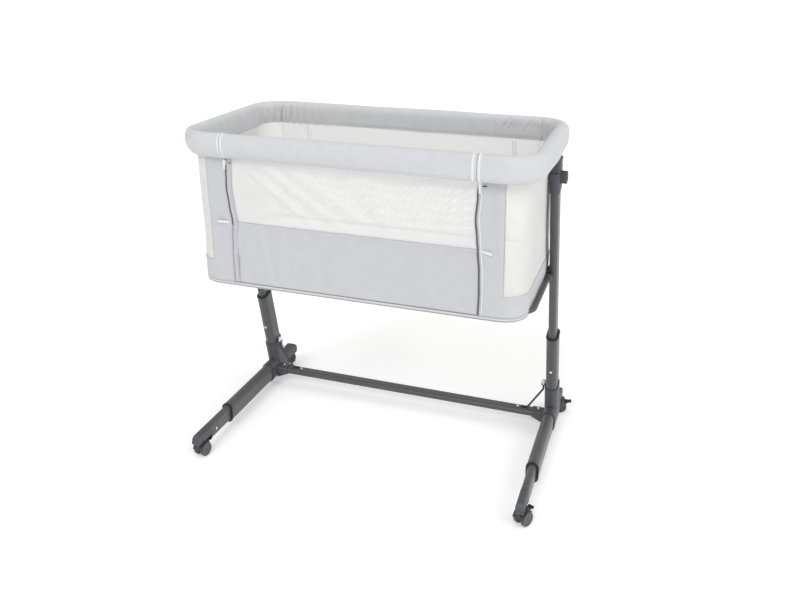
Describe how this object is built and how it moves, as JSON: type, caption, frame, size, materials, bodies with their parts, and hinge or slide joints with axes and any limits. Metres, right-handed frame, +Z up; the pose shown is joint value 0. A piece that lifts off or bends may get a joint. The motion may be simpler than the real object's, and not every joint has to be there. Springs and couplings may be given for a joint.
{
  "type": "bedside sleeper crib",
  "caption": "Bedside crib: padded fabric basket with mesh walls and a zipped drop side, on a height-adjustable leaning stand with oval feet and twin-wheel casters.",
  "frame": {"origin": "on the floor, at the middle of the overall length and depth", "axes": "+Z up, X along the crib, -Y faces the parents bed (the drop side)"},
  "size_m": [1.0135, 0.6507, 0.955],
  "materials": {
    "stand_metal": "slate grey powder coat, fine texture, satin",
    "frame_metal": "slate grey powder coat",
    "rod_metal": "dark painted wire",
    "moulded_slate": "slate grey moulded plastic, light grain",
    "collar_plastic": "near-black moulded bush",
    "cap_plastic": "brown-grey moulded plastic",
    "chrome": "bright plated",
    "rail_steel": "bare steel tube",
    "socket_plastic": "moulded plastic",
    "board": "thin fibreboard",
    "rim_fabric": "light grey plain-weave cotton over foam",
    "grey_fabric": "light grey plain-weave cotton",
    "mesh_fabric": "off-white spacer mesh",
    "window_mesh": "white net",
    "cover_fabric": "grey fabric underside with piping",
    "mattress_fabric": "white quilted cotton",
    "zip_teeth": "dark coil zip",
    "zip_white": "white lacquered slider",
    "webbing": "white webbing",
    "caster_plastic": "dark brown-grey plastic",
    "wheel_plastic": "brown-grey wheel plastic",
    "brake_plastic": "black plastic"
  },
  "bodies": {
    "base": {"crossbar": "stand_metal", "tube_collars": "collar_plastic", "brace_rods": "rod_metal", "stand_fasteners": "chrome", "hub_left": "moulded_slate", "hub_right": "moulded_slate", "outer_upright_left": "stand_metal", "outer_upright_right": "stand_metal", "foot_tube_left": "stand_metal", "foot_tube_right": "stand_metal", "rear_cap_left": "cap_plastic", "rear_cap_right": "cap_plastic"},
    "cradle": {"frame_clips": "moulded_slate", "top_rail": "rail_steel", "rail_sockets": "socket_plastic", "lower_frame": "frame_metal", "base_board": "board", "rim_pad": "rim_fabric", "back_mesh": "mesh_fabric", "skirt": "grey_fabric", "base_cover": "cover_fabric", "base_piping": "cover_fabric", "zip_chains": "zip_teeth", "webbing_loops": "webbing", "bracket_screws": "chrome", "inner_upright_left": "stand_metal", "inner_upright_right": "stand_metal", "top_bracket_left": "moulded_slate", "top_bracket_right": "moulded_slate", "end_mesh_left": "mesh_fabric", "end_mesh_right": "mesh_fabric"},
    "drop_side": {"front_rail": "rail_steel", "front_rim_pad": "rim_fabric", "front_window": "window_mesh", "front_panel": "grey_fabric"},
    "mattress": {"mattress": "mattress_fabric"},
    "foot_extension_left": {"foot_extension_left": "stand_metal", "front_cap_left": "moulded_slate"},
    "knob_left": {"knob_left": "moulded_slate"},
    "upright_button_left": {"upright_button_left": "chrome"},
    "foot_button_left": {"foot_button_left": "chrome"},
    "zip_slider_left": {"zip_slider_left": "zip_white"},
    "caster_front_left": {"caster_housing_front_left": "caster_plastic"},
    "wheels_front_left": {"caster_wheels_front_left": "wheel_plastic"},
    "brake_front_left": {"caster_brake_front_left": "brake_plastic"},
    "caster_rear_left": {"caster_housing_rear_left": "caster_plastic"},
    "wheels_rear_left": {"caster_wheels_rear_left": "wheel_plastic"},
    "brake_rear_left": {"caster_brake_rear_left": "brake_plastic"},
    "foot_extension_right": {"foot_extension_right": "stand_metal", "front_cap_right": "moulded_slate"},
    "knob_right": {"knob_right": "moulded_slate"},
    "upright_button_right": {"upright_button_right": "chrome"},
    "foot_button_right": {"foot_button_right": "chrome"},
    "zip_slider_right": {"zip_slider_right": "zip_white"},
    "caster_front_right": {"caster_housing_front_right": "caster_plastic"},
    "wheels_front_right": {"caster_wheels_front_right": "wheel_plastic"},
    "brake_front_right": {"caster_brake_front_right": "brake_plastic"},
    "caster_rear_right": {"caster_housing_rear_right": "caster_plastic"},
    "wheels_rear_right": {"caster_wheels_rear_right": "wheel_plastic"},
    "brake_rear_right": {"caster_brake_rear_right": "brake_plastic"}
  },
  "joints": [
    {"name": "height_slide", "type": "slide", "parent": "base", "child": "cradle", "axis": [0, -0.2544, 0.9671], "range_m": [-0.15, 0]},
    {"name": "side_drop", "type": "hinge", "parent": "cradle", "child": "drop_side", "pos_m": [0, -0.2805, 0.5465], "axis": [1, 0, 0], "range_deg": [0, 170]},
    {"name": "mattress_lift", "type": "slide", "parent": "cradle", "child": "mattress", "axis": [0, 0, 1], "range_m": [0, 0.45]},
    {"name": "foot_slide_left", "type": "slide", "parent": "base", "child": "foot_extension_left", "axis": [0, 1, 0], "range_m": [0, 0.075]},
    {"name": "knob_turn_left", "type": "hinge", "parent": "cradle", "child": "knob_left", "pos_m": [-0.462, -0.012, 0.838], "axis": [1, 0, 0], "continuous": true},
    {"name": "upright_button_press_left", "type": "slide", "parent": "base", "child": "upright_button_left", "axis": [0, 0.9671, 0.2544], "range_m": [0, 0.0025], "stiffness_N_per_m": 800},
    {"name": "foot_button_press_left", "type": "slide", "parent": "foot_extension_left", "child": "foot_button_left", "axis": [-1, 0, 0], "range_m": [0, 0.0025], "stiffness_N_per_m": 800},
    {"name": "zip_slide_left", "type": "slide", "parent": "cradle", "child": "zip_slider_left", "axis": [0, 0.0522, -0.9986], "range_m": [0, 0.31]},
    {"name": "caster_swivel_front_left", "type": "hinge", "parent": "foot_extension_left", "child": "caster_front_left", "pos_m": [-0.462, -0.304, 0.044], "axis": [0, 0, 1], "continuous": true},
    {"name": "wheel_roll_front_left", "type": "hinge", "parent": "caster_front_left", "child": "wheels_front_left", "pos_m": [-0.46033, -0.29212, 0.02], "axis": [0.9903, -0.1392, 0], "continuous": true},
    {"name": "brake_press_front_left", "type": "hinge", "parent": "caster_front_left", "child": "brake_front_left", "pos_m": [-0.45741, -0.27132, 0.0335], "axis": [0.9903, -0.1392, 0], "range_deg": [-16, 0]},
    {"name": "caster_swivel_rear_left", "type": "hinge", "parent": "base", "child": "caster_rear_left", "pos_m": [-0.462, 0.289, 0.044], "axis": [0, 0, 1], "continuous": true},
    {"name": "wheel_roll_rear_left", "type": "hinge", "parent": "caster_rear_left", "child": "wheels_rear_left", "pos_m": [-0.47183, 0.29588, 0.02], "axis": [0.5736, 0.8192, 0], "continuous": true},
    {"name": "brake_press_rear_left", "type": "hinge", "parent": "caster_rear_left", "child": "brake_rear_left", "pos_m": [-0.48903, 0.30793, 0.0335], "axis": [0.5736, 0.8192, 0], "range_deg": [-16, 0]},
    {"name": "foot_slide_right", "type": "slide", "parent": "base", "child": "foot_extension_right", "axis": [0, 1, 0], "range_m": [0, 0.075]},
    {"name": "knob_turn_right", "type": "hinge", "parent": "cradle", "child": "knob_right", "pos_m": [0.462, -0.012, 0.838], "axis": [1, 0, 0], "continuous": true},
    {"name": "upright_button_press_right", "type": "slide", "parent": "base", "child": "upright_button_right", "axis": [0, 0.9671, 0.2544], "range_m": [0, 0.0025], "stiffness_N_per_m": 800},
    {"name": "foot_button_press_right", "type": "slide", "parent": "foot_extension_right", "child": "foot_button_right", "axis": [1, 0, 0], "range_m": [0, 0.0025], "stiffness_N_per_m": 800},
    {"name": "zip_slide_right", "type": "slide", "parent": "cradle", "child": "zip_slider_right", "axis": [0, 0.0522, -0.9986], "range_m": [0, 0.31]},
    {"name": "caster_swivel_front_right", "type": "hinge", "parent": "foot_extension_right", "child": "caster_front_right", "pos_m": [0.462, -0.304, 0.044], "axis": [0, 0, 1], "continuous": true},
    {"name": "wheel_roll_front_right", "type": "hinge", "parent": "caster_front_right", "child": "wheels_front_right", "pos_m": [0.46745, -0.29331, 0.02], "axis": [0.891, -0.454, 0], "continuous": true},
    {"name": "brake_press_front_right", "type": "hinge", "parent": "caster_front_right", "child": "brake_front_right", "pos_m": [0.47698, -0.2746, 0.0335], "axis": [0.891, -0.454, 0], "range_deg": [-16, 0]},
    {"name": "caster_swivel_rear_right", "type": "hinge", "parent": "base", "child": "caster_rear_right", "pos_m": [0.462, 0.289, 0.044], "axis": [0, 0, 1], "continuous": true},
    {"name": "wheel_roll_rear_right", "type": "hinge", "parent": "caster_rear_right", "child": "wheels_rear_right", "pos_m": [0.47382, 0.29108, 0.02], "axis": [0.1736, -0.9848, 0], "continuous": true},
    {"name": "brake_press_rear_right", "type": "hinge", "parent": "caster_rear_right", "child": "brake_rear_right", "pos_m": [0.4945, 0.29473, 0.0335], "axis": [0.1736, -0.9848, 0], "range_deg": [-16, 0]}
  ]
}
